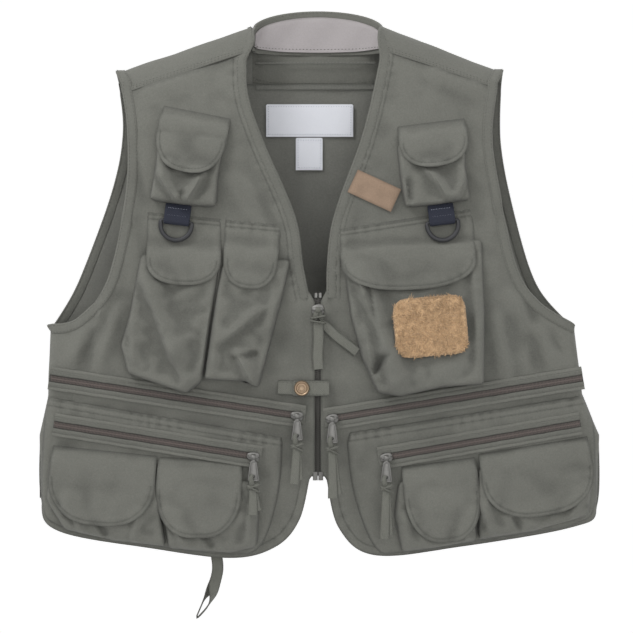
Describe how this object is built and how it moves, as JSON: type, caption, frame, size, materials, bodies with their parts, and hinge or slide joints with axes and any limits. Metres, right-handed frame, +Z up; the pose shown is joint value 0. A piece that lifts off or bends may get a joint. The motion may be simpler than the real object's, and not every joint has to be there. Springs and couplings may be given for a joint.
{
  "type": "fishing vest",
  "caption": "Sleeveless canvas fishing vest with flap pouches, zipped cargo pockets, fleece fly patch, D-rings, snap tab, hanger loop and rod loop.",
  "frame": {"origin": "the point inside the top of the hanger loop, behind the collar, that rests on a hook", "axes": "+Z up, the fronts face -Y, +X towards the wearer's left"},
  "size_m": [0.5985, 0.0998, 0.6471],
  "materials": {
    "cloth": "matt cotton canvas",
    "dark_cloth": "matt tape",
    "lining": "brushed cotton",
    "label": "woven satin",
    "zip_tape": "nylon coil and tape",
    "metal": "worn antique nickel",
    "navy_webbing": "woven webbing",
    "black_plastic": "satin moulded",
    "fleece": "deep pile",
    "suede": "suede",
    "brass": "antique"
  },
  "bodies": {
    "root": {"right_front": "cloth", "left_front": "cloth", "back_panel": "cloth", "yoke": "cloth", "collar": "cloth", "collar_lining": "lining", "hanger_loop": "dark_cloth", "neck_label": "label", "leather_tag": "suede", "right_fly_pouch": "cloth", "left_fly_pouch": "cloth", "right_chest_outer_pouch": "cloth", "right_chest_inner_pouch": "cloth", "left_chest_pouch": "cloth", "right_cargo": "cloth", "left_cargo": "cloth", "right_outer_pouch": "cloth", "right_inner_pouch": "cloth", "left_inner_pouch": "cloth", "left_outer_pouch": "cloth", "right_upper_zip_tape": "zip_tape", "left_upper_zip_tape": "zip_tape", "right_cargo_zip_tape": "zip_tape", "left_cargo_zip_tape": "zip_tape", "right_front_zip_tape": "zip_tape", "left_front_zip_tape": "zip_tape", "snap_stud": "brass", "right_ring_tab": "navy_webbing", "left_ring_tab": "navy_webbing", "fleece_patch": "fleece", "rod_loop": "cloth"},
    "right_fly_flap": {"right_fly_flap": "cloth"},
    "left_fly_flap": {"left_fly_flap": "cloth"},
    "right_chest_outer_flap": {"right_chest_outer_flap": "cloth"},
    "right_chest_inner_flap": {"right_chest_inner_flap": "cloth"},
    "left_chest_flap": {"left_chest_flap": "cloth"},
    "right_outer_flap": {"right_outer_flap": "cloth"},
    "right_inner_flap": {"right_inner_flap": "cloth"},
    "left_inner_flap": {"left_inner_flap": "cloth"},
    "left_outer_flap": {"left_outer_flap": "cloth"},
    "right_upper_slider": {"right_upper_slider": "metal"},
    "right_upper_pull": {"right_upper_pull": "metal", "right_upper_webbing": "cloth"},
    "left_upper_slider": {"left_upper_slider": "metal"},
    "left_upper_pull": {"left_upper_pull": "metal", "left_upper_webbing": "cloth"},
    "right_cargo_slider": {"right_cargo_slider": "metal"},
    "right_cargo_pull": {"right_cargo_pull": "metal", "right_cargo_webbing": "cloth"},
    "left_cargo_slider": {"left_cargo_slider": "metal"},
    "left_cargo_pull": {"left_cargo_pull": "metal", "left_cargo_webbing": "cloth"},
    "front_slider": {"front_slider": "metal"},
    "front_webbing": {"front_webbing": "cloth"},
    "snap_tab": {"snap_tab": "cloth", "snap_cap": "brass"},
    "right_ring": {"right_ring": "black_plastic"},
    "left_ring": {"left_ring": "black_plastic"}
  },
  "joints": [
    {"name": "right_fly_flap_hinge", "type": "hinge", "parent": "root", "child": "right_fly_flap", "pos_m": [-0.128, -0.07713, -0.1104], "axis": [-0.9777, 0.0694, 0.1982], "range_deg": [0, 150]},
    {"name": "left_fly_flap_hinge", "type": "hinge", "parent": "root", "child": "left_fly_flap", "pos_m": [0.119, -0.07846, -0.1204], "axis": [-0.9903, -0.0495, -0.1295], "range_deg": [0, 150]},
    {"name": "right_chest_outer_flap_hinge", "type": "hinge", "parent": "root", "child": "right_chest_outer_flap", "pos_m": [-0.14, -0.08013, -0.2454], "axis": [-0.9987, 0.0046, 0.05], "range_deg": [0, 100]},
    {"name": "right_chest_inner_flap_hinge", "type": "hinge", "parent": "root", "child": "right_chest_inner_flap", "pos_m": [-0.069, -0.07963, -0.2444], "axis": [-0.9959, 0.0056, 0.0899], "range_deg": [0, 150]},
    {"name": "left_chest_flap_hinge", "type": "hinge", "parent": "root", "child": "left_chest_flap", "pos_m": [0.094, -0.08104, -0.2464], "axis": [-0.9992, -0.0036, -0.04], "range_deg": [0, 100]},
    {"name": "right_outer_flap_hinge", "type": "hinge", "parent": "root", "child": "right_outer_flap", "pos_m": [-0.226, -0.06905, -0.4664], "axis": [-0.9949, 0.0133, 0.0998], "range_deg": [0, 150]},
    {"name": "right_inner_flap_hinge", "type": "hinge", "parent": "root", "child": "right_inner_flap", "pos_m": [-0.124, -0.06858, -0.4754], "axis": [-0.9982, -0.0023, 0.06], "range_deg": [0, 150]},
    {"name": "left_inner_flap_hinge", "type": "hinge", "parent": "root", "child": "left_inner_flap", "pos_m": [0.127, -0.06857, -0.4784], "axis": [-0.9915, 0.0053, -0.1296], "range_deg": [0, 150]},
    {"name": "left_outer_flap_hinge", "type": "hinge", "parent": "root", "child": "left_outer_flap", "pos_m": [0.225, -0.06995, -0.4604], "axis": [-0.9872, -0.0007, -0.1593], "range_deg": [0, 150]},
    {"name": "right_upper_zip_slide", "type": "slide", "parent": "root", "child": "right_upper_slider", "axis": [0.9884, 0.0147, -0.1514], "range_m": [-0.24, 0]},
    {"name": "right_upper_pull_hinge", "type": "hinge", "parent": "right_upper_slider", "child": "right_upper_pull", "pos_m": [-0.02181, -0.07754, -0.4244], "axis": [-1, 0, 0], "range_deg": [0, 150]},
    {"name": "left_upper_zip_slide", "type": "slide", "parent": "root", "child": "left_upper_slider", "axis": [-0.9868, 0.0171, -0.1612], "range_m": [-0.24, 0]},
    {"name": "left_upper_pull_hinge", "type": "hinge", "parent": "left_upper_slider", "child": "left_upper_pull", "pos_m": [0.01478, -0.07694, -0.4274], "axis": [-1, 0, 0], "range_deg": [0, 150]},
    {"name": "right_cargo_zip_slide", "type": "slide", "parent": "root", "child": "right_cargo_slider", "axis": [0.987, 0.0202, -0.1595], "range_m": [-0.196, 0]},
    {"name": "right_cargo_pull_hinge", "type": "hinge", "parent": "right_cargo_slider", "child": "right_cargo_pull", "pos_m": [-0.06776, -0.07265, -0.4674], "axis": [-1, 0, 0], "range_deg": [0, 150]},
    {"name": "left_cargo_zip_slide", "type": "slide", "parent": "root", "child": "left_cargo_slider", "axis": [-0.9844, 0.0236, -0.1743], "range_m": [-0.186, 0]},
    {"name": "left_cargo_pull_hinge", "type": "hinge", "parent": "left_cargo_slider", "child": "left_cargo_pull", "pos_m": [0.07172, -0.07235, -0.4684], "axis": [-1, 0, 0], "range_deg": [0, 150]},
    {"name": "front_zip_slide", "type": "slide", "parent": "root", "child": "front_slider", "axis": [0, 0, 1], "range_m": [-0.055, 0]},
    {"name": "front_webbing_hinge", "type": "hinge", "parent": "front_slider", "child": "front_webbing", "pos_m": [0, -0.0788, -0.3134], "axis": [-1, 0, 0], "range_deg": [0, 150]},
    {"name": "snap_tab_hinge", "type": "hinge", "parent": "root", "child": "snap_tab", "pos_m": [0.011, -0.07364, -0.3954], "axis": [0, 0, 1], "range_deg": [0, 150]},
    {"name": "right_ring_swing", "type": "hinge", "parent": "root", "child": "right_ring", "pos_m": [-0.148, -0.07717, -0.2204], "axis": [-0.9928, 0, 0.1197], "range_deg": [0, 130]},
    {"name": "left_ring_swing", "type": "hinge", "parent": "root", "child": "left_ring", "pos_m": [0.13, -0.07719, -0.2204], "axis": [-0.9928, 0, -0.1197], "range_deg": [0, 130]}
  ]
}
